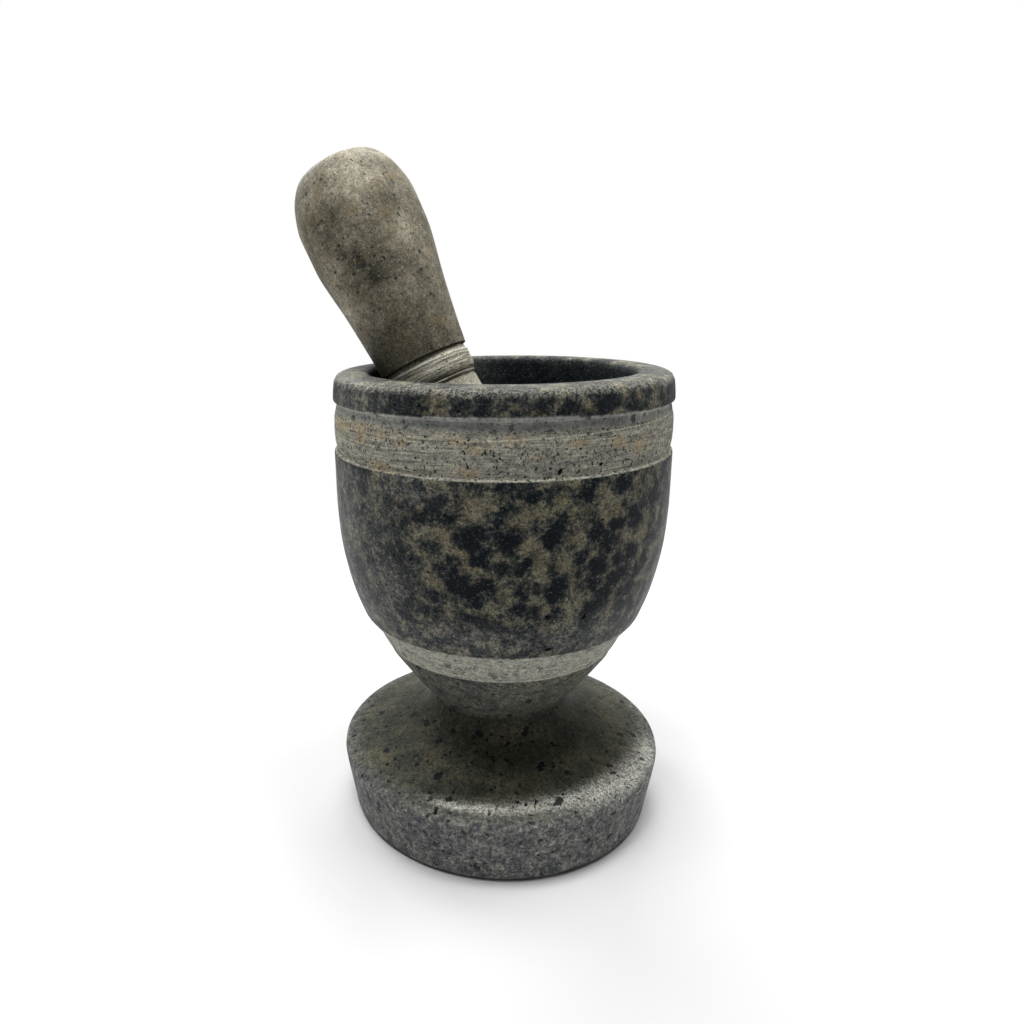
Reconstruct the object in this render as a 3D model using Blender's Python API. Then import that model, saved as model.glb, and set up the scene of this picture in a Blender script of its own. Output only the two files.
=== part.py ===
"""Turned stone mortar on a waisted foot, with its pestle leaning in the bowl.

There are two pieces, each turned on a lathe from one block of stone. Lengths are
in metres. The origin is the centre of the mortar's flat underside, and +Z runs up
the mortar's turning axis. The pestle stands on the bowl's floor and leans back and to
the left on the mouth, so it is placed by its lean and by where it crosses the rim.
"""

import math

import bmesh
import bpy
from mathutils import Matrix, Vector

# Driving dimensions of the mortar: heights above the underside.
FOOT_WIDEST = 0.0193
NECK_HEIGHT = 0.0365  # narrowest place, between foot and cup
CUP_BAND_LOW = 0.0579  # lower edge of the matte band under the cup
CUP_BAND_HIGH = 0.0698  # its upper edge, where the polished body starts
BODY_TOP = 0.1212  # the body's upper arris
RIM_LOW = 0.1359  # lower edge of the polished band round the mouth
HEIGHT = 0.1442  # the rim's highest ring
BOWL_FLOOR = 0.0720

# Driving dimensions of the mortar: radii.
UNDERSIDE_RADIUS = 0.0482  # the flat that it stands on
FOOT_RADIUS = 0.0529
NECK_RADIUS = 0.0218
CUP_BAND_RADIUS = 0.0372  # at the band's lower edge
BODY_RADIUS = 0.0514
COLLAR_RADIUS = 0.0511  # the matte band above the body
RIM_RADIUS = 0.0511
MOUTH_RADIUS = 0.0397
BOWL_RADIUS = 0.0380  # the bowl's round lower part

# Driving dimensions of the pestle, along its own axis from the grinding end.
PESTLE_LENGTH = 0.1445
WAIST = 0.0702  # the fine groove where the shank ends and the collar starts
COLLAR_WIDEST = 0.0730
COLLAR_BEAD = 0.0771  # the raised ring at the collar's upper edge
HANDLE_START = 0.0794  # the cut between collar and handle
HANDLE_WIDEST = 0.1215

# Driving dimensions of the pestle: radii.
HEAD_RADIUS = 0.0186
WAIST_RADIUS = 0.0129
PESTLE_COLLAR_RADIUS = 0.0140
HANDLE_RADIUS = 0.0190

# How the pestle rests.
PESTLE_LEAN = math.radians(26.1)  # away from upright
PESTLE_HEADING = math.radians(161.9)  # the way its top leans, counted from +X towards +Y
RIM_CROSSING = Vector((-0.0233, 0.0061, 0.1440))  # where its axis passes the rim
SUNK = 0.0774  # length of its axis below that crossing

MORTAR_FACETS = 64
PESTLE_FACETS = 36
SHARP_ANGLE = math.radians(32)

MORTAR_STONE = ((0.105, 0.105, 0.092, 1.0), 0.50)
PESTLE_STONE = ((0.190, 0.185, 0.155, 1.0), 0.60)


def arc(centre, radius, start, end, steps):
    """Points on a circle in the outline's plane, with angles in degrees from +r towards +z."""
    turn = [math.radians(start + (end - start) * i / steps) for i in range(steps + 1)]
    return [(centre[0] + radius * math.cos(a), centre[1] + radius * math.sin(a)) for a in turn]


def fair(stations, steps):
    """A smooth curve through the stations, with so many points from each to the next."""
    points = [Vector(station) for station in stations]
    points = [2 * points[0] - points[1], *points, 2 * points[-1] - points[-2]]
    curve = []
    for before, start, end, after in zip(points, points[1:], points[2:], points[3:]):
        for i in range(steps):
            t = i / steps
            curve.append(
                0.5
                * (
                    2 * start
                    + (end - before) * t
                    + (2 * before - 5 * start + 4 * end - after) * t**2
                    + (3 * start - before - 3 * end + after) * t**3
                )
            )
    return [tuple(point) for point in curve] + [tuple(stations[-1])]


def turned(name, outline, facets, stone):
    """Spins an outline of (radius, height) points about Z into one closed piece of stone."""
    shape = bmesh.new()
    ring = [shape.verts.new((radius, 0.0, height)) for radius, height in outline]
    edges = [shape.edges.new(pair) for pair in zip(ring, ring[1:])]
    bmesh.ops.spin(
        shape,
        geom=ring + edges,
        axis=(0, 0, 1),
        cent=(0, 0, 0),
        angle=math.tau,
        steps=facets,
        use_merge=True,
    )
    bmesh.ops.remove_doubles(shape, verts=shape.verts, dist=1e-6)
    bmesh.ops.recalc_face_normals(shape, faces=shape.faces)
    mesh = bpy.data.meshes.new(name)
    shape.to_mesh(mesh)
    shape.free()
    mesh.shade_smooth()
    mesh.set_sharp_from_angle(angle=SHARP_ANGLE)
    mesh.materials.append(stone_material(name, *stone))
    piece = bpy.data.objects.new(name, mesh)
    bpy.context.scene.collection.objects.link(piece)
    return piece


def stone_material(name, colour, roughness):
    material = bpy.data.materials.new(name)
    material.use_nodes = True
    shader = material.node_tree.nodes["Principled BSDF"]
    shader.inputs["Base Color"].default_value = colour
    shader.inputs["Roughness"].default_value = roughness
    shader.inputs["Metallic"].default_value = 0.0
    return material


def foot_outline():
    """From the centre of the underside, round the foot's wall and shoulder, to the neck."""
    edge_round = 0.0020
    widest = (FOOT_RADIUS, FOOT_WIDEST)
    shoulder_top = (0.0460, 0.0229)
    return [
        (0.0, 0.0),
        *arc((UNDERSIDE_RADIUS, edge_round), edge_round, -90, -8, 3),
        *fair([(0.0508, 0.0060), (0.0517, 0.0114), (0.0524, 0.0156), widest], 1),
        *fair([(0.0527, 0.0204), (0.0518, 0.0212), (0.0500, 0.0218), shoulder_top], 1),
        *fair([(0.0400, 0.0250), (0.0320, 0.0281), (0.0254, 0.0318), (NECK_RADIUS, NECK_HEIGHT)], 2),
    ]


def cup_outline():
    """From the neck up the outside of the cup to the top of its polished body."""
    scratch = 0.0004  # depth of the fine line under the matte band
    step = 0.0004  # how far the band lies under the body's lower arris
    band_low = (CUP_BAND_RADIUS, CUP_BAND_LOW + 0.0003)
    band_high = (0.0447 - step, CUP_BAND_HIGH - 0.0006)
    return [
        *fair([(0.0229, 0.0390), (0.0264, 0.0424), (0.0318, 0.0496), (0.0364, 0.0562)], 2),
        (CUP_BAND_RADIUS - scratch, CUP_BAND_LOW - 0.0003),
        *fair([band_low, (0.0384, 0.0600), (0.0407, 0.0645), band_high], 2),
        *fair(
            [
                (0.0446, CUP_BAND_HIGH),
                (0.0472, 0.0768),
                (0.0491, 0.0842),
                (0.0506, 0.0930),
                (0.0513, 0.1030),
                (BODY_RADIUS, 0.1120),
                (BODY_RADIUS, BODY_TOP - 0.0006),
            ],
            2,
        ),
        (BODY_RADIUS - 0.0004, BODY_TOP),
    ]


def collar_outline():
    """The matte band over the body: a low swell between two coves cut into the stone."""
    low_cove = (0.0505, BODY_TOP + 0.0005)
    high_cove = (0.0501, RIM_LOW - 0.0010)
    return fair(
        [
            low_cove,
            (0.0510, 0.1240),
            (COLLAR_RADIUS, 0.1272),
            (0.0510, 0.1310),
            (0.0505, 0.1330),
            high_cove,
        ],
        2,
    )


def rim_outline():
    """The polished band round the mouth, its soft top and its rounded inner edge."""
    return [
        (RIM_RADIUS - 0.0003, RIM_LOW),
        *fair([(RIM_RADIUS, RIM_LOW + 0.0006), (0.0509, 0.1393), (0.0506, 0.1415)], 1),
        *fair([(0.0499, 0.1429), (0.0488, 0.1436), (0.0460, 0.1441), (0.0424, HEIGHT)], 2),
        *fair([(0.0411, 0.1439), (0.0402, 0.1431), (MOUTH_RADIUS, 0.1414)], 2),
    ]


def bowl_outline():
    """Down the inside wall and round the bottom to the centre of the bowl's floor."""
    round_centre = (0.0, BOWL_FLOOR + BOWL_RADIUS)
    return [
        *fair([(0.0395, 0.1350), (0.0388, 0.1230), (BOWL_RADIUS, round_centre[1])], 2)[:-1],
        *arc(round_centre, BOWL_RADIUS, 0, -81, 9),
        (0.0, BOWL_FLOOR),
    ]


def pestle_outline():
    """From the middle of the grinding end, up the shank and the collar, over the handle."""
    dome = PESTLE_LENGTH
    return [
        (0.0, 0.0),
        *fair(
            [
                (0.0055, 0.0008),
                (0.0108, 0.0034),
                (0.0154, 0.0081),
                (0.0180, 0.0141),
                (HEAD_RADIUS, 0.0214),
                (0.0180, 0.0340),
                (0.0162, 0.0480),
                (0.0143, 0.0596),
                (0.0133, 0.0663),
                (WAIST_RADIUS + 0.0002, WAIST - 0.0010),
            ],
            2,
        ),
        (WAIST_RADIUS, WAIST),
        (WAIST_RADIUS + 0.0005, WAIST + 0.0012),
        (PESTLE_COLLAR_RADIUS, COLLAR_WIDEST),
        (PESTLE_COLLAR_RADIUS - 0.0001, COLLAR_WIDEST + 0.0024),
        (PESTLE_COLLAR_RADIUS - 0.0002, COLLAR_BEAD),
        (PESTLE_COLLAR_RADIUS - 0.0005, COLLAR_BEAD + 0.0009),
        (WAIST_RADIUS + 0.0004, HANDLE_START - 0.0005),
        *fair(
            [
                (0.0142, HANDLE_START),
                (0.0147, 0.0853),
                (0.0153, 0.0910),
                (0.0160, 0.0966),
                (0.0168, 0.1026),
                (0.0179, 0.1090),
                (0.0188, 0.1154),
                (HANDLE_RADIUS, HANDLE_WIDEST),
                (HANDLE_RADIUS, dome - 0.0170),
                (0.0186, dome - 0.0138),
                (0.0175, dome - 0.0099),
                (0.0161, dome - 0.0066),
                (0.0135, dome - 0.0031),
                (0.0107, dome - 0.0015),
                (0.0070, dome - 0.0005),
            ],
            2,
        ),
        (0.0, dome),
    ]


def build():
    for leftover in list(bpy.data.objects):
        bpy.data.objects.remove(leftover)
    mortar_outline = (
        foot_outline() + cup_outline() + collar_outline() + rim_outline() + bowl_outline()
    )
    turned("mortar", mortar_outline, MORTAR_FACETS, MORTAR_STONE)
    pestle = turned("pestle", pestle_outline(), PESTLE_FACETS, PESTLE_STONE)
    turn = Matrix.Rotation(PESTLE_HEADING, 4, "Z") @ Matrix.Rotation(PESTLE_LEAN, 4, "Y")
    pestle.rotation_euler = turn.to_euler()
    pestle.location = RIM_CROSSING - SUNK * (turn.to_3x3() @ Vector((0, 0, 1)))


build()
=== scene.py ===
"""A turned soapstone mortar on a waisted foot, with its pestle leaning in the bowl.

Both pieces are cut on a lathe from grey-green stone. The mortar's rim and body are rubbed
with oil until they are nearly black, with ochre clouds, and the bands between them are left
as the tool cut them. Lengths are in metres, heights are counted from the table, and an
angle round the mortar is counted from its front, towards the right.
"""

import math
import random

import bmesh
import bpy
import numpy as np
from mathutils import Matrix, Vector, noise


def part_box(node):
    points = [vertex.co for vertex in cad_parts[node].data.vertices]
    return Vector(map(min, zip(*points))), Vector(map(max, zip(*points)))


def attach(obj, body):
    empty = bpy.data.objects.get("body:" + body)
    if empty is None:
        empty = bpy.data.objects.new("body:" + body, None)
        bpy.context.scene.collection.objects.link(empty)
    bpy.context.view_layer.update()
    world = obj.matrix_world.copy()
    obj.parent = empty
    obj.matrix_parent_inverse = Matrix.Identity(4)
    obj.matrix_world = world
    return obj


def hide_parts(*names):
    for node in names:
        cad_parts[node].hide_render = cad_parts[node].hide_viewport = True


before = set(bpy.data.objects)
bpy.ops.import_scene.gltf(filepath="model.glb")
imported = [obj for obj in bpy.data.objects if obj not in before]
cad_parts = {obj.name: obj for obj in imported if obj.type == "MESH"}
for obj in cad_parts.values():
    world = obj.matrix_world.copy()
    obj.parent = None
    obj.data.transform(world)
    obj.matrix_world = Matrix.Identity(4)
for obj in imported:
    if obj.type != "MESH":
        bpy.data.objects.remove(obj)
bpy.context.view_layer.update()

# The camera stands close in front of the mortar, a little above its mouth, and looks down
# at the cup's waist. It is turned slightly to the left and tipped by under a degree.
EYE = Vector((0.0, -0.2381, 0.16725))
LOOKING_DOWN = math.radians(16.67)
TURNED_LEFT = math.radians(4.31)
TIPPED = math.radians(-0.82)

camera = bpy.data.objects.new("camera", bpy.data.cameras.new("camera"))
camera.data.sensor_width = 36.0
camera.data.lens = 27.216
camera.data.shift_x = 0.0658
camera.data.shift_y = 0.0083
camera.data.clip_start = 0.01
camera.matrix_world = (
    Matrix.Translation(EYE)
    @ Matrix.Rotation(TURNED_LEFT, 4, "Z")
    @ Matrix.Rotation(math.radians(90) - LOOKING_DOWN, 4, "X")
    @ Matrix.Rotation(TIPPED, 4, "Z")
)
bpy.context.scene.collection.objects.link(camera)
bpy.context.scene.camera = camera


# The mortar: one block of soapstone, turned outside and hollowed. Its outline runs from the
# middle of the underside over foot, cup, matte band and rim, and down into the bowl.
_, mortar_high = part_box("mortar")
HEIGHT = mortar_high.z
FOOT_RADIUS = mortar_high.x
BODY_LOW = 0.0698  # the polished body's lower arris
BODY_TOP = 0.1212
RIM_LOW = 0.1359  # where the polished band round the mouth begins
RIM_TOP_FROM = 0.1425  # height where the rim's flat top starts
RIM_EDGE_RADIUS = 0.0488  # and the radius of that edge
RIM_TOP_WIDTH = 0.0075
BODY_RADIUS = 0.0514
BOWL_FLOOR = 0.0720
BOWL_RADIUS = 0.0380
MORTAR_FACETS = 280

# The finishes along the outline, as shares of what FINISH names.
FINISH = ("matte", "oiled", "clouded", "worn", "smooth")
POLISHED = (0.0, 1.0, 1.0, 0.0, 0.0)
RIM_WALL = (0.0, 1.0, 1.0, 0.02, 0.0)
RIM_EDGE = (0.0, 1.0, 1.0, 0.40, 0.0)  # rubbed paler by hands
RUBBED = (0.0, 1.0, 1.0, 0.08, 0.0)
SAWN = (1.0, 0.0, 0.3, 0.0, 0.0)  # as the tool left it
SCRAPED = (0.75, 0.0, 0.25, 0.0, 0.4)  # cut once more with a blunter tool
COVE = (0.7, 0.0, 0.1, 0.0, 1.0)
CUT_EDGE = (1.0, 0.0, 0.3, 1.0, 0.0)
NECK = (0.2, 0.65, 0.1, 0.0, 0.5)
FOOT_TOP = (0.2, 1.0, 0.0, 0.0, 0.2)
SHOULDER = (0.2, 0.6, 0.0, 0.0, 0.5)
FOOT_WALL = (0.3, 0.0, 0.0, 0.0, 0.25)
INSIDE = (0.0, 1.0, 1.0, 0.0, 1.0)


def arc(centre, radius, start, end, steps):
    """Points on a circle in the outline's plane, with angles in degrees from +r towards +z."""
    turn = [math.radians(start + (end - start) * i / steps) for i in range(steps + 1)]
    return [(centre[0] + radius * math.cos(a), centre[1] + radius * math.sin(a)) for a in turn]


def fair(stations, steps):
    """A smooth curve through the stations, with so many points from each to the next."""
    points = [Vector(station) for station in stations]
    points = [2 * points[0] - points[1], *points, 2 * points[-1] - points[-2]]
    curve = []
    for before, start, end, after in zip(points, points[1:], points[2:], points[3:]):
        for i in range(steps):
            t = i / steps
            curve.append(
                0.5
                * (
                    2 * start
                    + (end - before) * t
                    + (2 * before - 5 * start + 4 * end - after) * t**2
                    + (3 * start - before - 3 * end + after) * t**3
                )
            )
    return [tuple(point) for point in curve] + [tuple(stations[-1])]


mortar_outline = [
    ([(0.0, 0.0), (0.016, 0.0), (0.032, 0.0)], FOOT_WALL),
    (arc((0.0482, 0.0020), 0.0020, -90, -8, 5), FOOT_WALL),
    (
        fair([(0.0508, 0.0060), (0.0517, 0.0114), (0.0524, 0.0156), (FOOT_RADIUS, 0.0193)], 5),
        FOOT_WALL,
    ),
    (fair([(0.0527, 0.0204), (0.0518, 0.0212), (0.0500, 0.0218)], 3), FOOT_WALL, SHOULDER),
    (fair([(0.0494, 0.0220), (0.0474, 0.0226), (0.0458, 0.0230)], 2), SHOULDER, FOOT_TOP),
    (
        fair([(0.0448, 0.0233), (0.0320, 0.0281), (0.0254, 0.0318), (0.0218, 0.0365)], 8),
        FOOT_TOP,
    ),
    (fair([(0.0229, 0.0390), (0.0264, 0.0424), (0.0318, 0.0496), (0.0364, 0.0562)], 8), NECK),
    ([(0.0368, 0.0576), (0.0370, 0.0579)], NECK),
    (fair([(0.0372, 0.0582), (0.0384, 0.0600), (0.0407, 0.0645), (0.0443, 0.0692)], 9), SCRAPED),
    ([(0.0444, 0.0695), (0.0447, 0.0699)], POLISHED),
    (
        fair(
            [
                (0.0450, 0.0706),
                (0.0472, 0.0768),
                (0.0491, 0.0842),
                (0.0506, 0.0930),
                (0.0513, 0.1030),
                (BODY_RADIUS, 0.1120),
                (BODY_RADIUS, BODY_TOP - 0.0008),
            ],
            8,
        ),
        POLISHED,
    ),
    ([(BODY_RADIUS - 0.0001, BODY_TOP - 0.0003)], POLISHED),
    ([(BODY_RADIUS - 0.0003, BODY_TOP), (0.0505, BODY_TOP + 0.0004)], CUT_EDGE),
    (
        fair(
            [(0.0505, BODY_TOP + 0.0008), (0.0509, 0.1240), (0.0511, 0.1272), (0.0510, 0.1310)],
            11,
        ),
        SAWN,
    ),
    (fair([(0.0509, 0.1318), (0.0505, 0.1332)], 4), SAWN),
    (fair([(0.0504, 0.1336), (0.0501, RIM_LOW - 0.0010)], 3), COVE),
    ([(0.0502, RIM_LOW - 0.0002)], POLISHED),
    (
        fair([(0.0508, RIM_LOW), (0.0511, 0.1365), (0.0509, 0.1393), (0.0506, 0.1415)], 5),
        RIM_WALL,
    ),
    (
        fair([(0.0499, 0.1429), (0.0488, 0.1436), (0.0460, 0.1441), (0.0424, HEIGHT)], 4),
        RIM_EDGE,
        RUBBED,
    ),
    (fair([(0.0411, 0.1439), (0.0402, 0.1431), (0.0397, 0.1414)], 3), RUBBED, INSIDE),
    (fair([(0.0395, 0.1350), (0.0388, 0.1230), (BOWL_RADIUS, 0.1100)], 5)[:-1], INSIDE),
    (arc((0.0, BOWL_FLOOR + BOWL_RADIUS), BOWL_RADIUS, 0, -84, 22), INSIDE),
    ([(0.0, BOWL_FLOOR)], INSIDE),
]


# What lies on the finish: each corner holds a share of each mark, and of "climb" a height.
MARKS = ("pit", "ochre", "dark", "thin", "sheen", "climb")


def turned(outline, facets):
    """Spins the outline about Z into one closed skin.

    Each stretch has its points and its finish, or the two that it blends between.
    """
    shape = bmesh.new()
    layers = [shape.verts.layers.float.new(name) for name in FINISH + MARKS][: len(FINISH)]
    ring = []
    for points, start, *end in outline:
        for i, (radius, height) in enumerate(points):
            corner = shape.verts.new((radius, 0.0, height))
            for layer, first, last in zip(layers, start, end[0] if end else start):
                corner[layer] = first + (last - first) * i / max(1, len(points) - 1)
            ring.append(corner)
    edges = [shape.edges.new(pair) for pair in zip(ring, ring[1:])]
    bmesh.ops.spin(
        shape,
        geom=ring + edges,
        axis=(0, 0, 1),
        cent=(0, 0, 0),
        angle=math.tau,
        steps=facets,
        use_merge=True,
    )
    bmesh.ops.remove_doubles(shape, verts=shape.verts, dist=1e-6)
    bmesh.ops.recalc_face_normals(shape, faces=shape.faces)
    return shape


# Pits where softer grains fell out of the stone: (angle, height, length, slant) in degrees
# and millimetres. The largest are along the bottom of the body and on the matte band.
PITS = [
    (-33, 80.9, 1.5, 20), (-4, 84.5, 1.2, -35), (-22, 75.7, 1.0, -30), (-28, 98.5, 1.0, -10),
    (-22, 95.6, 1.1, -30), (-47, 100.4, 0.9, 80), (-34, 98.7, 1.0, -40), (-28, 75.0, 0.7, 0),
    (11, 76.1, 3.4, 2), (2, 75.7, 1.5, 10), (17, 72.0, 2.0, 5), (15, 83.4, 1.5, 0),
    (9, 81.5, 0.8, 0), (10, 79.8, 1.0, 5), (28, 81.6, 2.3, 60), (26, 110.0, 0.8, -45),
    (31, 109.5, 0.8, 90), (17, 123.2, 2.0, 60), (30, 124.2, 1.4, 30), (14, 124.1, 1.0, 60),
    (16, 127.8, 0.8, 80), (-12, 138.4, 0.9, 10), (-32, 139.2, 0.8, 0), (-24, 139.4, 1.0, 65),
    (-9, 131.5, 0.8, 60), (-11, 48.7, 1.0, 0), (-24, 46.4, 0.8, 0), (-52, 23.4, 0.8, 0),
    (-37, 26.2, 0.8, 0), (-18, 23.8, 0.7, 20), (-3, 24.8, 0.7, 0), (-21, 21.5, 1.0, 0),
    (-16, 20.7, 0.8, 0),
]  # fmt: skip
MORE_PITS = 44  # scattered over the sides and the back


def pit_places():
    """The pits at the front, as they lie, and more of the same kind over the rest.

    Each has its angle, its height, half its length and its slant, in radians and metres.
    """
    places = [
        (math.radians(angle), height / 1000, length / 2000, math.radians(slant))
        for angle, height, length, slant in PITS
    ]
    scatter = random.Random(11)
    for _ in range(MORE_PITS):
        angle = math.radians(scatter.uniform(64, 296))
        on_foot, on_cup = scatter.uniform(0.008, 0.020), scatter.uniform(0.045, 0.141)
        height = scatter.choice([on_foot, on_cup])
        half_length = scatter.uniform(0.0004, 0.0010)
        places.append((angle, height, half_length, scatter.uniform(-0.8, 1.2)))
    return places


# Clouds in the polished stone: (angle, height, half width, half height) in degrees and
# millimetres, ochre where iron has stained it and blue-black where it took most oil. The
# dark ones low on the foot's top are the cup's painted shadow, and those just under the rim
# at the front are painted shade under it.
OCHRE_CLOUDS = [
    (-32, 115, 1.4, 1.6), (-24, 113, 1.4, 1.4), (-17, 106, 2.0, 3.2), (-23, 100.5, 2.6, 1.0),
    (-11, 101.5, 2.0, 1.2), (-9, 97.6, 3.4, 1.4), (-9, 115, 3.6, 2.4), (-19, 92, 2.4, 1.8),
    (-37, 88, 2.2, 1.8), (-22, 77, 2.4, 1.4), (-4, 75, 3.0, 1.6), (1, 90, 1.6, 2.4),
    (18, 116, 2.4, 2.0), (24, 113, 2.8, 1.3), (36, 111.5, 2.6, 2.2), (9, 113, 2.6, 2.4),
    (5, 110, 2.6, 1.6), (8, 104.5, 2.6, 2.0), (12, 99, 3.0, 2.8), (18, 98.5, 2.6, 2.4),
    (22, 105.5, 2.8, 2.0), (39, 104, 1.4, 2.2), (49, 103, 1.8, 2.0), (22, 93, 1.2, 2.6),
    (14, 86, 2.8, 1.2), (15, 79.5, 3.8, 1.4), (44, 116, 1.4, 3.2), (2, 82, 1.6, 1.4),
    (-19, 140.8, 2.2, 2.0), (-17, 138.4, 1.8, 1.4), (4, 139.5, 1.4, 1.2), (9, 138.4, 1.6, 1.0),
    (11, 137, 1.8, 1.0), (16, 141, 1.0, 1.4), (26, 138.5, 1.8, 1.2), (34, 137, 2.2, 1.0),
    (43, 140.4, 1.6, 1.6), (52, 141, 1.6, 1.4), (-22, 137.6, 2.0, 0.8), (19, 143.4, 1.4, 1.0),
    (-48, 129, 2.4, 1.6), (-38, 131, 2.4, 1.0), (-30, 130, 1.8, 0.8), (-12, 131, 2.4, 0.8),
    (-7, 128.8, 1.6, 1.0), (3, 131.6, 2.4, 0.7), (10, 127, 1.6, 1.0), (22, 130.2, 2.4, 0.8),
    (36, 129, 2.2, 1.4), (45, 127.6, 2.2, 2.0), (-9, 123.2, 2.4, 1.2), (-38, 122.2, 3.4, 1.2),
    (-47, 71.5, 3.0, 1.2), (-18, 143.4, 2.8, 1.2), (12, 143.8, 1.4, 0.8), (37, 143.4, 1.6, 1.0),
    (-48, 143.8, 4.0, 1.0), (52, 143.6, 2.4, 1.2), (-26, 144.0, 3.0, 0.7), (24, 143.9, 2.0, 0.7),
    (-60, 146.0, 3.0, 1.8), (-36, 148.0, 3.0, 1.4), (-6, 146.8, 3.0, 1.4), (20, 148.0, 3.0, 1.4),
    (44, 146.4, 2.6, 1.8), (60, 148.0, 3.0, 1.8), (-62, 131.0, 5.0, 1.4), (-49, 131.8, 4.0, 1.0),
]  # fmt: skip
DARK_AND_SHADE_CLOUDS = [
    (-28, 114, 1.8, 1.6), (-19, 115, 1.6, 1.6), (-11, 105, 2.6, 2.0), (-1, 109.5, 3.2, 3.0),
    (-9, 100.6, 3.4, 1.2), (-9, 91.5, 3.6, 3.2), (-30, 100.5, 3.0, 1.8), (-35, 97, 2.0, 2.2),
    (-19, 85, 2.4, 2.0), (9, 118, 5.2, 1.8), (26, 117, 4.0, 2.4), (35, 118.4, 3.2, 1.8),
    (15, 105.4, 3.0, 2.4), (18, 113, 1.4, 1.2), (33, 107, 3.6, 2.6), (6, 100.6, 4.0, 3.4),
    (26, 97.6, 3.4, 2.0), (27, 93, 2.2, 2.0), (18, 92, 2.2, 1.8), (15, 89.6, 1.8, 1.2),
    (7, 92, 3.6, 2.6), (32, 86, 3.8, 4.4), (27, 80.5, 2.0, 2.2), (55, 115, 1.8, 3.4),
    (-27, 139.5, 4.4, 2.2), (-10, 139.4, 4.0, 2.4), (-3, 138.6, 3.6, 2.0), (4, 138.2, 2.8, 1.6),
    (21, 139, 3.0, 2.2), (31, 139.5, 3.4, 1.8), (14, 138, 2.2, 1.4), (-4, 80, 2.4, 2.0),
    (-4, 125.5, 7.0, 2.0), (12, 125.5, 8.0, 2.6), (30, 126, 7.0, 2.4), (50, 123.5, 6.0, 1.6),
    (-35, 142.4, 3.6, 1.4), (-4, 142.6, 4.6, 1.4), (5, 142.8, 2.6, 1.2), (18, 142.8, 3.0, 1.4),
    (30, 142.6, 3.6, 1.4), (44, 142.8, 2.6, 1.2), (-22, 142.4, 3.0, 1.2), (-48, 147.4, 3.4, 2.0),
    (-20, 147.0, 3.4, 1.8), (7, 147.0, 4.0, 1.8), (33, 147.0, 3.6, 2.0), (54, 145.4, 2.6, 1.6),
    # The last one here and those on the next line lie on the foot's top: the cup's painted shadow.
    (68, 147.0, 4.0, 2.4), (-72, 147.0, 4.0, 2.4), (-8, 24.6, 12, 1.2),
    (12, 24.8, 12, 1.2), (32, 24.8, 12, 1.2), (50, 24.4, 12, 1.2), (66, 24.2, 10, 1.0),
    # These, just under the rim at the front, are painted shade under its overhang.
    (-6, 135.2, 10, 1.6), (12, 135.2, 10, 1.6), (30, 135.2, 10, 1.6), (-20, 135.2, 7, 1.4),
]  # fmt: skip

# Where the oiled stone turns paler, towards the dry grey stone: at the left and right sides a
# painted reflection of the bright room, and low on the body's front two paler places.
PALE_AND_REFLECTION_CLOUDS = [
    (-54, 104, 15, 16), (-40, 90, 9, 9), (-48, 79, 12, 7), (-10, 75, 24, 5.0), (30, 75, 18, 5.0),
    (-52, 139, 13, 5), (-30, 118, 9, 4), (70, 96, 9, 24),
]  # fmt: skip

# Where the foot's shoulder has a painted highlight and a glossy coat, from the front round to the
# right.
SHOULDER_GLOSS_AND_HIGHLIGHT = [
    (-16, 22.5, 7, 0.3), (-4, 22.6, 8, 0.4), (10, 22.7, 8, 0.4), (24, 22.8, 10, 0.6),
    (40, 22.5, 12, 0.9), (56, 22.0, 12, 1.1), (72, 21.7, 9, 1.0),
]  # fmt: skip
CLOUD_FALL = 0.8  # how fast a cloud thins out from its middle


def cloud_share(front, angles, radii, heights, others=0, seed=1):
    """How far each corner lies in a cloud: the listed ones, and others scattered elsewhere."""
    clouds = [(math.radians(a), z / 1000, w / 1000, h / 1000) for a, z, w, h in front]
    scatter = random.Random(seed)
    for _ in range(others):
        angle = math.radians(scatter.uniform(70, 290))
        height = scatter.uniform(BODY_LOW, HEIGHT + RIM_TOP_WIDTH)
        _, _, half_width, half_height = scatter.choice(clouds[: len(front)])
        clouds.append((angle, height, half_width, half_height))
    share = np.zeros(len(angles))
    for angle, height, half_width, half_height in clouds:
        across = (angles - angle + math.pi) % math.tau - math.pi
        away = (across * radii / half_width) ** 2 + ((heights - height) / half_height) ** 2
        share = np.maximum(share, np.exp(-CLOUD_FALL * away))
    return share


def refine(shape, places, reach, cuts):
    """Splits the faces round each place, so that a pit under a millimetre wide has a shape."""
    at = np.array([corner.co for corner in shape.verts])
    near = np.zeros(len(at), bool)
    for place in places:
        near |= ((at - np.array(place)) ** 2).sum(axis=1) < reach**2
    shape.verts.index_update()
    edges = [e for e in shape.edges if near[e.verts[0].index] and near[e.verts[1].index]]
    bmesh.ops.subdivide_edges(shape, edges=edges, cuts=cuts, use_grid_fill=True)


mortar_shape = turned(mortar_outline, MORTAR_FACETS)
pits = pit_places()
outer = {}
for corner in mortar_shape.verts:
    if corner.co.y < 0 and abs(corner.co.x) < 0.0004:
        outer[round(corner.co.z, 4)] = max(outer.get(round(corner.co.z, 4), 0), -corner.co.y)
outer_heights = sorted(outer)
outer_radii = [outer[z] for z in outer_heights]
pit_spots = []
for angle, height, _, _ in pits:
    radius = float(np.interp(height, outer_heights, outer_radii))
    pit_spots.append(Vector((radius * math.sin(angle), -radius * math.cos(angle), height)))
PIT_REACH = 0.0022
PIT_CUTS = 4
refine(mortar_shape, pit_spots, PIT_REACH, PIT_CUTS)

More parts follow.
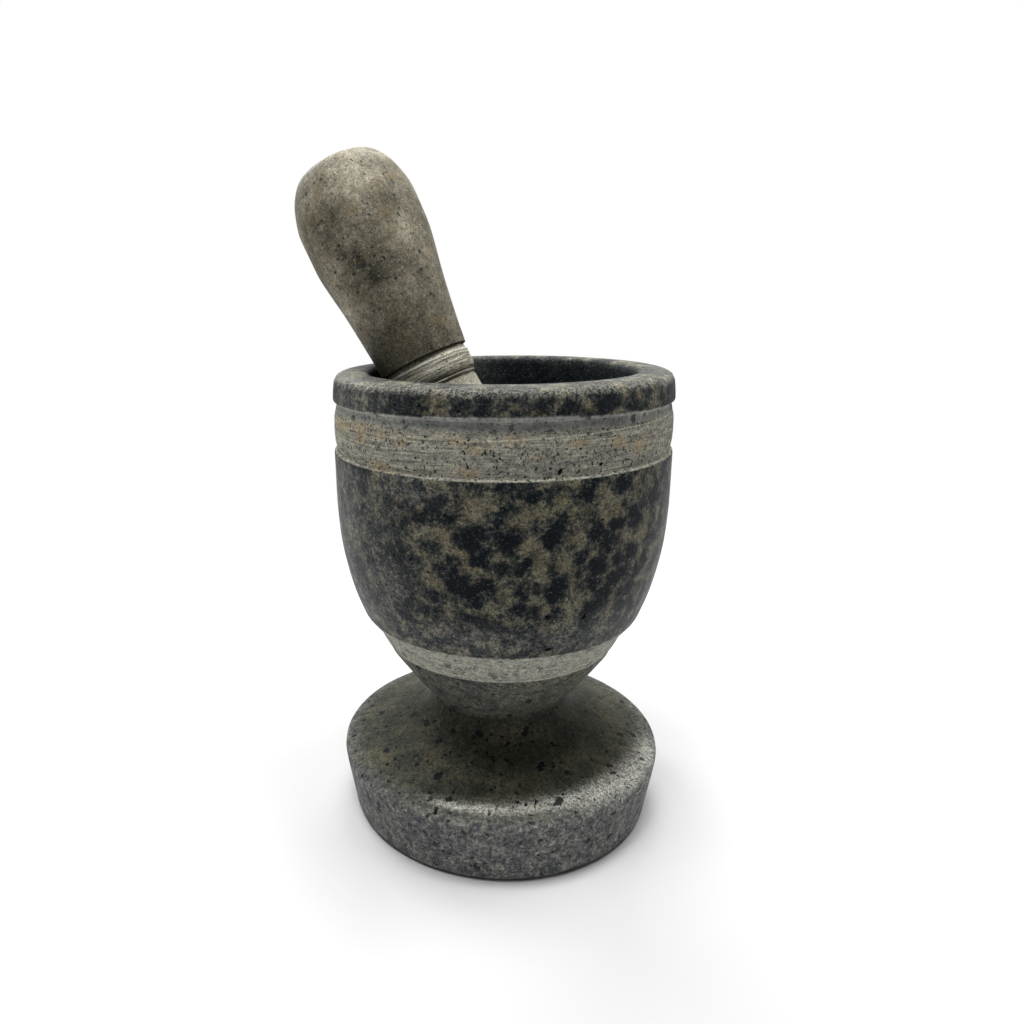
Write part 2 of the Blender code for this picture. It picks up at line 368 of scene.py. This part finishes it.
corners = list(mortar_shape.verts)
at = np.array([corner.co for corner in corners])
mortar_shape.normal_update()
normals = np.array([corner.normal for corner in corners])
radii = np.hypot(at[:, 0], at[:, 1])
angles = np.arctan2(at[:, 0], -at[:, 1])
matte_layer = mortar_shape.verts.layers.float["matte"]
matte = np.array([corner[matte_layer] for corner in corners])
outside = (normals[:, 0] * at[:, 0] + normals[:, 1] * at[:, 1] > 0) & (at[:, 2] > 0.004)

# Hand turning leaves the stone a tenth of a millimetre out of true, and the tool's lines on
# the matte bands climb a little as they go round.
OUT_OF_TRUE = 0.00007
SWELLS_PER_METRE = 70
LINE_DEPTH = 0.00005
LINES_PER_METRE = 1500
CLIMB_PER_RADIAN = 0.0006
sunk = np.array([OUT_OF_TRUE * (1 + noise.noise(Vector(p) * SWELLS_PER_METRE)) for p in at])
lines = np.array(
    [
        noise.noise(Vector((angle * 0.8, 3.0, (z - CLIMB_PER_RADIAN * angle) * LINES_PER_METRE)))
        for angle, z in zip(angles, at[:, 2])
    ]
)
sunk += LINE_DEPTH * (1 + lines) * (matte > 0.9)

# A pit has a ragged edge, steep sides and a flat floor.
PIT_DEPTH = 0.00045
PIT_WIDTH = 0.62  # of its length
PIT_HALF_WIDTH = 0.0006  # at most
CRUMBS_PER_METRE = 2200
in_pit = np.zeros(len(at))
for angle, height, half_length, slant in pits:
    across = ((angles - angle + math.pi) % math.tau - math.pi) * radii
    up = at[:, 2] - height
    along = across * math.cos(slant) + up * math.sin(slant)
    aside = up * math.cos(slant) - across * math.sin(slant)
    half_width = min(half_length * PIT_WIDTH, PIT_HALF_WIDTH)
    away = (along / half_length) ** 2 + (aside / half_width) ** 2
    close = np.nonzero((away < 4) & outside)[0]
    for i in close:
        ragged = away[i] * (1 + 0.7 * noise.noise(Vector(at[i]) * CRUMBS_PER_METRE))
        depth = max(0.0, 1 - ragged)
        in_pit[i] = max(in_pit[i], min(1.0, 2.5 * depth))
        sunk[i] += PIT_DEPTH * min(1.0, 1.6 * depth)
underside_or_pole = (at[:, 2] < 0.0002) | (radii < 0.002)
sunk[underside_or_pole] = 0

# On the rim's flat top a cloud's height counts on inwards from the edge.
unrolled = at[:, 2] + np.clip(RIM_EDGE_RADIUS - radii, 0, None) * (at[:, 2] > RIM_TOP_FROM)
ochre = cloud_share(OCHRE_CLOUDS, angles, radii, unrolled, others=90, seed=5)
dark = cloud_share(DARK_AND_SHADE_CLOUDS, angles, radii, unrolled, others=80, seed=9)
thin = cloud_share(PALE_AND_REFLECTION_CLOUDS, angles, radii, unrolled, others=8, seed=3)
sheen = cloud_share(SHOULDER_GLOSS_AND_HIGHLIGHT, angles, radii, unrolled)

# The bowl is darkened all over, painted shade in its hollow, and it is hardly stained.
BOWL_SHADE_BELOW = 0.1400
STAIN_IN_BOWL = 0.2
in_bowl = ~outside & (at[:, 2] > BOWL_FLOOR - 0.001) & (at[:, 2] < BOWL_SHADE_BELOW)
dark[in_bowl] = 1.0
ochre[in_bowl] *= STAIN_IN_BOWL

# One line that the tool cut while it moved up: the height of each corner over that line,
# which starts at the front and climbs to the right.
LINE_START = 0.1314
LINE_RISE = 0.0018
LINE_LEFT, LINE_RIGHT = -0.20, 1.4  # its ends, in radians
NO_LINE = 0.01
climb = at[:, 2] - LINE_START - LINE_RISE * np.sin(angles)
climb[~outside | (angles < LINE_LEFT) | (angles > LINE_RIGHT)] = NO_LINE

# The body's upper arris has worn down at the left of the front.
WORN_FROM, WORN_TO = math.radians(-90), math.radians(-22)
UNDER_RIM = 0.13
EDGE_LEFT = 0.15  # share of the pale edge that is left there
worn_layer = mortar_shape.verts.layers.float["worn"]
for i, corner in enumerate(corners):
    if WORN_FROM < angles[i] < WORN_TO and at[i, 2] < UNDER_RIM:
        corner[worn_layer] *= EDGE_LEFT

# At the front the oil stops short of the rim's lower edge, as the cove's finish goes on.
OIL_GAP = 0.0012
gap_top = RIM_LOW + OIL_GAP * np.clip(np.cos(angles), 0, None) ** 2
finish_layers = [mortar_shape.verts.layers.float[name] for name in FINISH]
for i in np.nonzero(outside & (at[:, 2] > RIM_LOW - 0.0003) & (at[:, 2] < gap_top))[0]:
    for layer, share in zip(finish_layers, COVE):
        corners[i][layer] = share

mark_layers = [mortar_shape.verts.layers.float[name] for name in MARKS]
for i, corner in enumerate(corners):
    corner.co -= Vector(normals[i]) * sunk[i]
    for layer, share in zip(mark_layers, (in_pit, ochre, dark, thin, sheen, climb)):
        corner[layer] = share[i]

SHARP_EDGE = math.radians(50)


def piece_of(shape, name):
    """Makes a shape a smooth object that stands at the origin."""
    mesh = bpy.data.meshes.new(name)
    shape.to_mesh(mesh)
    shape.free()
    mesh.shade_smooth()
    mesh.set_sharp_from_angle(angle=SHARP_EDGE)
    piece = bpy.data.objects.new(name, mesh)
    bpy.context.scene.collection.objects.link(piece)
    return piece


mortar = piece_of(mortar_shape, "turned_mortar")


class Wire:
    """One socket in a material's node tree. Arithmetic on it adds Math nodes."""

    def __init__(self, tree, socket=None):
        self.tree = tree
        self.socket = socket

    def node(self, kind, settings, sockets, output=0):
        """Adds a node: its settings first, then the values or links of its sockets."""
        made = self.tree.nodes.new("ShaderNode" + kind)
        for name, value in settings.items():
            if name == "stops":
                self.set_stops(made.color_ramp, value)
            else:
                setattr(made, name, value)
        for name, value in sockets.items():
            if isinstance(value, Wire):
                self.tree.links.new(value.socket, made.inputs[name])
            else:
                made.inputs[name].default_value = value
        return Wire(self.tree, made.outputs[output])

    def set_stops(self, ramp, stops):
        while len(ramp.elements) < len(stops):
            ramp.elements.new(1.0)
        for element, (position, colour) in zip(ramp.elements, stops):
            element.position = position
            element.color = (*colour, 1.0)

    def maths(self, operation, *operands):
        return self.node("Math", {"operation": operation}, dict(enumerate(operands)))

    def __add__(self, other):
        return self.maths("ADD", self, other)

    def __sub__(self, other):
        return self.maths("SUBTRACT", self, other)

    def __rsub__(self, other):
        return self.maths("SUBTRACT", other, self)

    def __mul__(self, other):
        return self.maths("MULTIPLY", self, other)

    __radd__ = __add__
    __rmul__ = __mul__

    def rise(self, low, high):
        """0 below low and 1 above high, with a smooth step between."""
        ends = {"Value": self, "From Min": low, "From Max": high}
        return self.node("MapRange", {"interpolation_type": "SMOOTHSTEP"}, ends)

    def named(self, name):
        """The share that the mesh's corners hold under this name."""
        return self.node("Attribute", {"attribute_name": name}, {}, "Fac")

    def mottle(self, grain, detail, roughness, shift):
        """Noise on this place, with clumps about one grain wide in metres."""
        moved = self.node("VectorMath", {"operation": "ADD"}, {0: self, 1: (shift, shift, shift)})
        values = {"Vector": moved, "Scale": 1 / grain, "Detail": detail, "Roughness": roughness}
        return self.node("TexNoise", {}, values, "Fac")

    def squeezed(self, across, along):
        """This place drawn together across, so that noise on it runs out into lines."""
        sockets = {0: self, 1: (across, across, along)}
        return self.node("VectorMath", {"operation": "MULTIPLY"}, sockets)

    def stirred(self, grain, reach):
        """This place pushed about by noise, so that a pattern on it loses its regular edges."""
        values = {"Vector": self, "Scale": 1 / grain, "Detail": 2.0}
        swirl = self.node("TexNoise", {}, values, "Color")
        sockets = {0: swirl, 1: (reach, reach, reach), 2: self}
        return self.node("VectorMath", {"operation": "MULTIPLY_ADD"}, sockets)

    def from_middle(self, spacing):
        """The way from the middle of the nearest grain, at this spacing in metres."""
        return self.node("TexVoronoi", {}, {"Vector": self, "Scale": 1 / spacing}, "Distance")

    def flecks(self, spacing, largest):
        """Separate grains, at most one to a cell of this spacing: 1 inside, and 0 between them."""
        own = self.node("TexVoronoi", {}, {"Vector": self, "Scale": 1 / spacing}, "Color")
        chance = own.node("SeparateColor", {}, {0: own}, "Red")
        return (chance * largest - self.from_middle(spacing)).rise(0.0, 0.06)

    def over(self, colour, share):
        """This colour with another, a wire or three numbers, laid over it by a share."""
        if not isinstance(colour, Wire):
            colour = (*colour, 1.0)
        settings = {"data_type": "RGBA", "clamp_factor": True}
        return self.node("Mix", settings, {0: share, 6: self, 7: colour}, 2)

    def shaded(self, brightness):
        """This colour times a number."""
        return self.node("VectorMath", {"operation": "SCALE"}, {0: self, "Scale": brightness})

    def ramp(self, *stops):
        """A colour for each value, through the stops."""
        return self.node("ValToRGB", {"stops": stops}, {0: self})


def new_material(name):
    """An empty Principled material: the place on the object, and the shader to link to."""
    material = bpy.data.materials.new(name)
    material.use_nodes = True
    start = Wire(material.node_tree)
    place = start.node("TexCoord", {}, {}, "Object")
    return material, place, material.node_tree.nodes["Principled BSDF"]


def feed(node, links):
    """Links each value to the node's socket of that name."""
    for name, value in links.items():
        value.tree.links.new(value.socket, node.inputs[name])


# The mortar's colours, linear: from dark to pale on the oiled cup, on the oiled foot, on the
# dry stone, where the tool left it rough, and in the coves. The coves' smooth stone is made
# paler still, as painted light in the shade under the rim.
OILED_CUP = (
    (0.37, (0.006, 0.009, 0.012)),
    (0.45, (0.020, 0.024, 0.026)),
    (0.53, (0.056, 0.058, 0.050)),
    (0.61, (0.104, 0.101, 0.075)),
    (0.72, (0.178, 0.165, 0.116)),
)
OILED_FOOT = (
    (0.37, (0.026, 0.030, 0.024)),
    (0.50, (0.070, 0.071, 0.052)),
    (0.63, (0.138, 0.124, 0.080)),
)
DRY_STONE = (
    (0.38, (0.056, 0.062, 0.070)),
    (0.50, (0.138, 0.142, 0.139)),
    (0.62, (0.305, 0.300, 0.262)),
)
SAWN_STONE = (
    (0.36, (0.130, 0.135, 0.120)),
    (0.50, (0.315, 0.310, 0.257)),
    (0.65, (0.570, 0.540, 0.415)),
)
LIGHTENED_COVE_STONE = ((0.35, (0.25, 0.255, 0.235)), (0.65, (0.47, 0.465, 0.41)))
OILED_STAIN = (0.150, 0.120, 0.068)
SAWN_STAIN = (0.40, 0.310, 0.180)
BLUE_GREY = (0.13, 0.14, 0.145)
# The pale of the painted highlight on the foot's shoulder.
PAINTED_HIGHLIGHT = (0.70, 0.69, 0.62)
PALE_EDGE = (0.52, 0.50, 0.42)
PALE_LINE = (0.56, 0.53, 0.42)
BLACK_SPOT = (0.006, 0.007, 0.009)
BLACK_GRAIN = (0.006, 0.006, 0.006)
PALE_GRAIN = (0.45, 0.44, 0.39)
GLINT = (0.38, 0.40, 0.40)
PIT_FLOOR = (0.002, 0.002, 0.002)
LINE_HALF_WIDTH, LINE_EDGE = 0.00006, 0.00024


def mortar_stone():
    material, place, shader = new_material("mortar_stone")
    matte, oiled, clouded, worn, smooth = (place.named(name) for name in FINISH)
    pit, ochre, dark, thin, sheen, climb = (place.named(name) for name in MARKS)
    bare = matte.rise(0.6, 1.0) * (1 - smooth)

    wide = place.mottle(0.0100, detail=3, roughness=0.6, shift=1.9)
    blotch = place.mottle(0.0052, detail=3, roughness=0.6, shift=0.1)
    patch = place.mottle(0.0026, detail=3, roughness=0.62, shift=0.37)
    fine = place.mottle(0.0011, detail=3, roughness=0.65, shift=0.3)
    grit = place.mottle(0.0005, detail=2, roughness=0.7, shift=0.5)
    lines = place.squeezed(0.05, 1.0).mottle(0.0005, detail=3, roughness=0.65, shift=0.2)
    from_middle = place.stirred(0.0022, 0.0040).from_middle(0.0052)
    ragged = place.stirred(0.0160, 0.0080).stirred(0.0011, 0.0021)
    spots = place.maths("MAXIMUM", ragged.flecks(0.0045, 0.33), ragged.flecks(0.0022, 0.33))
    black_grains = place.mottle(0.0008, detail=1, roughness=0.6, shift=1.1).rise(0.61, 0.69)
    pale_grains = place.mottle(0.0007, detail=1, roughness=0.6, shift=1.3).rise(0.64, 0.74)
    glints = place.mottle(0.0006, detail=1, roughness=0.6, shift=2.3).rise(0.66, 0.76)

    cloud = blotch * 0.25 + patch * 0.66 + from_middle * 0.50 + fine * 0.38 + grit * 0.10 - 0.441
    # Stains lighten the clouds and dark clouds darken them; in the bowl this darkening and the
    # pull towards a dark level on the next line are painted shade.
    cloud = cloud + (ochre - dark) * 0.16
    cloud = cloud + (0.36 - cloud) * (smooth * clouded * 0.8)
    stained = (ochre + patch - 0.5).rise(0.25, 0.9) * (0.35 - smooth * 0.3)
    cup = cloud.ramp(*OILED_CUP).over(OILED_STAIN, stained)

    # The foot is darkened where the cup's shadow falls on its top: a painted shadow.
    foot = (wide * 0.45 + patch * 0.30 + fine * 0.25).ramp(*OILED_FOOT).shaded(1 - dark * 0.45)
    dry = (blotch * 0.20 + patch * 0.40 + fine * 0.40).ramp(*DRY_STONE)

    sawn = patch * 0.22 + lines * (0.66 - dark * 0.3) + fine * (0.12 + dark * 0.3)
    stained = ochre * 0.5 + blotch * 0.4 + patch * 0.6 + fine * 0.4 + lines * 0.2 - 0.78
    sawn = sawn.ramp(*SAWN_STONE).over(SAWN_STAIN, stained.rise(0.0, 0.4) * 0.6)
    cove = (patch * 0.6 + fine * 0.4).ramp(*LIGHTENED_COVE_STONE)
    sawn = sawn.over(cove, smooth).over(BLUE_GREY, dark * (0.42 + smooth * 0.33))

    # Paler clouds let the dry stone's colour through: at the cup's sides a painted reflection.
    colour = dry.over(foot.over(cup, clouded), oiled * (1 - thin * 0.50))
    colour = colour.over(sawn, matte.rise(0.55, 0.7))
    crumbs = fine * 0.5 + grit * 0.5
    # The painted highlight on the foot's shoulder.
    colour = colour.over(PAINTED_HIGHLIGHT, sheen * crumbs.rise(0.32, 0.60) * 0.85)
    colour = colour.over(PALE_EDGE, worn * crumbs.rise(0.34, 0.6) * 0.9)
    line = climb.maths("ABSOLUTE", climb).rise(LINE_EDGE, LINE_HALF_WIDTH)
    line = line * (patch * 0.5 + fine * 0.5).rise(0.32, 0.46)
    colour = colour.over(PALE_LINE, line * 0.9)
    contrast = (grit - 0.5) * 3.0 * (1 - smooth * 0.65) * (1 - bare * 0.3)
    contrast = contrast + (fine - 0.5) * 1.3 * (1 - smooth * 0.4)
    colour = colour.shaded(1.0 + contrast)
    colour = colour.over(BLACK_SPOT, spots * (1 - clouded) * (0.75 + oiled * 0.25 - bare * 0.4))
    colour = colour.over(BLACK_GRAIN, black_grains * (0.35 + 0.2 * clouded + 0.5 * bare))
    colour = colour.over(PALE_GRAIN, pale_grains * (0.24 + 0.20 * bare) * (1 - oiled * 0.6))
    colour = colour.over(GLINT, glints * clouded * (1 - dark * 0.3) * 0.35)
    colour = colour.over(PIT_FLOOR, pit)

    roughness = 0.42 + matte * 0.35 + (fine - 0.5) * 0.25
    height = grit * 0.4 + fine * 0.5 + lines * bare * 0.6 - black_grains * 0.6 + pale_grains * 0.3
    bump = place.node("Bump", {}, {"Strength": 0.8, "Distance": 0.0003, "Height": height})
    shader.inputs["Specular IOR Level"].default_value = 0.05
    shader.inputs["Coat Roughness"].default_value = 0.35
    feed(shader, {"Base Color": colour, "Roughness": roughness, "Normal": bump})
    # The same share gives the shoulder a glossy coat.
    feed(shader, {"Coat Weight": sheen * 0.5})
    return material


mortar.data.materials.append(mortar_stone())
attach(mortar, "mortar")
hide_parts("mortar")


# The pestle: turned from a paler block of the same stone, with a domed handle, a collar of
# cut rings and a swelling grinding end. It stands on the bowl's floor and leans on the mouth.
PESTLE_LENGTH = 0.1445
PESTLE_LEAN = math.radians(26.1)
PESTLE_HEADING = math.radians(161.9)
RIM_CROSSING = Vector((-0.0233, 0.0061, 0.1440))  # where its axis passes the rim
SUNK = 0.0774  # length of its axis below that crossing
PESTLE_FACETS = 200

# On the pestle a full share of matte means cut into rings, of oiled rubbed bare by the
# stone, and of worn the bead's top, painted pale as a highlight.
PLAIN = (0.0, 0.0, 0.0, 0.0, 0.0)
SHANK = (0.0, 1.0, 0.0, 0.0, 0.0)
GROOVED = (1.0, 0.0, 0.0, 0.0, 0.0)
BEAD = (1.0, 0.0, 0.0, 1.0, 0.0)
pestle_outline = [
    ([(0.0, 0.0)], SHANK),
    (
        fair(
            [
                (0.0055, 0.0008),
                (0.0108, 0.0034),
                (0.0154, 0.0081),
                (0.0180, 0.0141),
                (0.0186, 0.0214),
                (0.0180, 0.0340),
                (0.0162, 0.0480),
                (0.0143, 0.0596),
                (0.0133, 0.0663),
                (0.0131, 0.0690),
            ],
            8,
        ),
        SHANK,
    ),
    ([(0.01285, 0.0695), (0.0127, 0.0698), (0.0130, 0.0702), (0.0133, 0.0705)], GROOVED),
    ([(0.0133, 0.0708), (0.0131, 0.0710), (0.0134, 0.0713), (0.0137, 0.0719)], GROOVED),
    (fair([(0.0139, 0.0725), (0.0140, 0.0732), (0.0140, 0.0745), (0.0139, 0.0752)], 3), GROOVED),
    ([(0.0138, 0.0755), (0.0139, 0.0758), (0.0139, 0.0763), (0.01375, 0.0766)], GROOVED),
    ([(0.01385, 0.0769), (0.0139, 0.0772), (0.0137, 0.0775)], BEAD),
    (fair([(0.01355, 0.0778), (0.0134, 0.0783), (0.0133, 0.0788)], 2), SHANK),
    ([(0.0131, 0.0791), (0.0135, 0.0793)], PLAIN),
    (
        fair(
            [
                (0.0142, 0.0794),
                (0.0147, 0.0853),
                (0.0153, 0.0910),
                (0.0160, 0.0966),
                (0.0168, 0.1026),
                (0.0179, 0.1090),
                (0.0188, 0.1154),
                (0.0190, 0.1215),
                (0.0190, PESTLE_LENGTH - 0.0170),
                (0.0186, PESTLE_LENGTH - 0.0138),
                (0.0175, PESTLE_LENGTH - 0.0099),
                (0.0161, PESTLE_LENGTH - 0.0066),
                (0.0135, PESTLE_LENGTH - 0.0031),
                (0.0107, PESTLE_LENGTH - 0.0015),
                (0.0070, PESTLE_LENGTH - 0.0005),
            ],
            8,
        ),
        PLAIN,
    ),
    ([(0.0, PESTLE_LENGTH)], PLAIN),
]
pestle_turn = Matrix.Rotation(PESTLE_HEADING, 4, "Z") @ Matrix.Rotation(PESTLE_LEAN, 4, "Y")
pestle_foot = RIM_CROSSING - SUNK * (pestle_turn.to_3x3() @ Vector((0, 0, 1)))

# Darker and paler places on the handle: (angle, height, half width, half height), counted
# round its own axis and from its grinding end. The first two pale ones, high on the dome,
# are a painted highlight.
PESTLE_DARK = [
    (97, 111, 4.6, 4.2), (86, 114.5, 2.4, 2.4), (103, 105.5, 3.0, 3.0), (280, 106, 6, 5),
]  # fmt: skip
PESTLE_PALE_AND_HIGHLIGHT = [
    (137, 140, 4.4, 3.4), (128, 134, 6.0, 5.5), (143, 114, 5.6, 5.6), (163, 106, 5.6, 10.0),
    (168, 90, 4.4, 6.6), (58, 104, 5.0, 11.0), (320, 122, 8, 9),
]  # fmt: skip

pestle_shape = turned(pestle_outline, PESTLE_FACETS)
at = np.array([corner.co for corner in pestle_shape.verts])
around = np.arctan2(at[:, 1], at[:, 0])
away = np.hypot(at[:, 0], at[:, 1])
for name, spots in (("dark", PESTLE_DARK), ("ochre", PESTLE_PALE_AND_HIGHLIGHT)):
    layer = pestle_shape.verts.layers.float[name]
    for corner, share in zip(pestle_shape.verts, cloud_share(spots, around, away, at[:, 2])):
        corner[layer] = share
PESTLE_OUT_OF_TRUE = 0.00006
PESTLE_SWELLS_PER_METRE = 110
pestle_shape.normal_update()
for corner in pestle_shape.verts:
    if corner.co.xy.length > 0.001:
        swell = 1 + noise.noise(corner.co * PESTLE_SWELLS_PER_METRE)
        corner.co -= corner.normal * PESTLE_OUT_OF_TRUE * swell
pestle_shape.transform(Matrix.Translation(pestle_foot) @ pestle_turn)
pestle = piece_of(pestle_shape, "turned_pestle")


# The pestle's colours, linear: from dark to pale on the handle, on the cut rings and on the
# rubbed shank.
HANDLE_STONE = (
    (0.30, (0.060, 0.053, 0.036)),
    (0.50, (0.190, 0.172, 0.124)),
    (0.74, (0.440, 0.405, 0.310)),
)
RING_STONE = (
    (0.38, (0.150, 0.138, 0.102)),
    (0.50, (0.380, 0.360, 0.280)),
    (0.62, (0.60, 0.575, 0.47)),
)
SHANK_STONE = ((0.35, (0.30, 0.285, 0.215)), (0.65, (0.64, 0.62, 0.50)))
BEAD_HIGHLIGHT = (0.72, 0.70, 0.58)
TAN = (0.26, 0.19, 0.09)
DARK_GRAIN = (0.02, 0.019, 0.016)
DARK_PATCH = (0.030, 0.031, 0.028)
HANDLE_PIT = (0.014, 0.013, 0.011)
BRIGHT_GRAIN = (0.62, 0.59, 0.49)
# Painted light from above: the handle is made paler towards its dome.
HANDLE_LIT_FROM, HANDLE_LIT_OVER = 0.087, 0.050  # the handle gets paler over this length from here


def pestle_stone():
    material, place, shader = new_material("pestle_stone")
    own = place.node(
        "Mapping",
        {"vector_type": "TEXTURE"},
        {"Vector": place, "Location": pestle_foot, "Rotation": pestle_turn.to_euler()},
    )
    grooved, shank, worn = (place.named(name) for name in ("matte", "oiled", "worn"))
    dark, pale = place.named("dark"), place.named("ochre")
    along = own.node("SeparateXYZ", {}, {0: own}, "Z")

    wide = own.mottle(0.011, detail=3, roughness=0.6, shift=0.7)
    patch = own.mottle(0.0035, detail=3, roughness=0.65, shift=0.1)
    fine = own.mottle(0.0011, detail=3, roughness=0.7, shift=0.3)
    grit = own.mottle(0.00045, detail=2, roughness=0.7, shift=0.5)
    rings = own.squeezed(0.06, 1.0).mottle(0.00045, detail=3, roughness=0.7, shift=0.2)
    black_grains = own.mottle(0.0009, detail=2, roughness=0.6, shift=0.9).rise(0.62, 0.68)
    pale_grains = own.mottle(0.0007, detail=1, roughness=0.6, shift=1.3).rise(0.62, 0.72)
    tan = own.mottle(0.0045, detail=3, roughness=0.6, shift=2.1).rise(0.56, 0.68)
    pits = own.stirred(0.0009, 0.0017).flecks(0.0019, 0.34) * (patch + dark * 0.2).rise(0.40, 0.50)

    light = wide * 0.6 + patch * 0.35 + fine * 0.3 - 0.185
    # The handle paler towards its dome is painted light from above, and the pale clouds on the
    # dome a painted highlight.
    light = light + (along - HANDLE_LIT_FROM).rise(0.0, HANDLE_LIT_OVER) * 0.07 + pale * 0.14 - dark * 0.08
    bare = (wide * 0.5 + fine * 0.5).ramp(*SHANK_STONE)
    colour = light.ramp(*HANDLE_STONE).over(bare, shank).over(rings.ramp(*RING_STONE), grooved)
    # The bead's pale top is a painted highlight.
    colour = colour.over(BEAD_HIGHLIGHT, worn * 0.6)
    colour = colour.shaded(1.0 + (grit - 0.5) * 2.2 + (fine - 0.5) * 1.0)
    colour = colour.over(TAN, tan * 0.4)
    colour = colour.over(DARK_GRAIN, black_grains * (0.5 + dark * 0.5))
    colour = colour.over(DARK_PATCH, (dark * 0.7 + fine * 2.4 - 1.2).rise(0.36, 0.80) * 0.85)
    colour = colour.over(HANDLE_PIT, pits * (1 - shank) * 0.85)
    colour = colour.over(BRIGHT_GRAIN, pale_grains * 0.35)

    roughness = 0.52 + (fine - 0.5) * 0.3
    height = grit * 0.4 + fine * 0.5 + rings * grooved * 1.5 - black_grains * 0.6
    bump = place.node("Bump", {}, {"Strength": 0.7, "Distance": 0.0003, "Height": height})
    shader.inputs["Specular IOR Level"].default_value = 0.12
    feed(shader, {"Base Color": colour, "Roughness": roughness, "Normal": bump})
    return material


pestle.data.materials.append(pestle_stone())
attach(pestle, "pestle")
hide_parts("pestle")


# The table: a wide white sheet that keeps the mortar's soft shadow. Far from the mortar it
# shows as white as the room behind it.
TABLE_SIZE = 4.0
TABLE_GAP = 0.0002  # under the foot
WHITE_FROM, WHITE_AT = 0.10, 0.45  # the paper fades to white between these ways from the mortar
table_shape = bmesh.new()
bmesh.ops.create_grid(table_shape, x_segments=1, y_segments=1, size=TABLE_SIZE)
table_mesh = bpy.data.meshes.new("table")
table_shape.to_mesh(table_mesh)
table_shape.free()
table = bpy.data.objects.new("table", table_mesh)
table.location.z = -TABLE_GAP
bpy.context.scene.collection.objects.link(table)


def table_paper():
    material, place, shader = new_material("table_paper")
    shader.inputs["Base Color"].default_value = (0.85, 0.85, 0.85, 1.0)
    shader.inputs["Roughness"].default_value = 0.9
    shader.inputs["Specular IOR Level"].default_value = 0.0
    away = place.node("VectorMath", {"operation": "LENGTH"}, {0: place}, "Value")
    faded = away.rise(WHITE_FROM, WHITE_AT)
    seen = place.node("LightPath", {}, {}, "Is Camera Ray")
    white = place.node("Emission", {}, {"Color": (1, 1, 1, 1), "Strength": 1.0})
    paper = Wire(material.node_tree, shader.outputs[0])
    mixed = place.node("MixShader", {}, {0: faded * seen, 1: paper, 2: white})
    feed(material.node_tree.nodes["Material Output"], {"Surface": mixed})
    return material


table.data.materials.append(table_paper())


# The light: a dim white room with two broad lamps high over the mortar and two behind it.
MIDDLE = Vector((0.0, 0.0, 0.08))  # what the lamps point at


def soft_lamp(name, place, size, watts):
    lamp = bpy.data.objects.new(name, bpy.data.lights.new(name, "AREA"))
    lamp.data.shape = "SQUARE"
    lamp.data.size = size
    lamp.data.energy = watts
    lamp.location = place
    lamp.rotation_mode = "QUATERNION"
    lamp.rotation_quaternion = (MIDDLE - lamp.location).to_track_quat("-Z", "Y")
    lamp.visible_camera = False
    bpy.context.scene.collection.objects.link(lamp)


soft_lamp("lamp_above_right", (0.21, 0.0, 0.85), 0.3, 3.6)
soft_lamp("lamp_above_left", (-0.15, -0.15, 0.85), 0.3, 4.0)
soft_lamp("lamp_back_left", (-0.46, 0.46, 0.63), 0.4, 2.8)
soft_lamp("lamp_behind", (0.0, 0.40, 0.77), 0.3, 2.4)

ROOM_LIGHT = 0.08
world = bpy.data.worlds.new("white_room")
world.use_nodes = True
bpy.context.scene.world = world
room = Wire(world.node_tree)
seen = room.node("LightPath", {}, {}, "Is Camera Ray")
shine = room.node("LightPath", {}, {}, "Is Glossy Ray")
through = room.node("LightPath", {}, {}, "Is Transmission Ray")
white = room.maths("MAXIMUM", room.maths("MAXIMUM", seen, shine), through)
background = world.node_tree.nodes["Background"]
background.inputs["Color"].default_value = (1, 1, 1, 1)
feed(background, {"Strength": ROOM_LIGHT + (1 - ROOM_LIGHT) * white})

bpy.context.scene.view_settings.view_transform = "Standard"
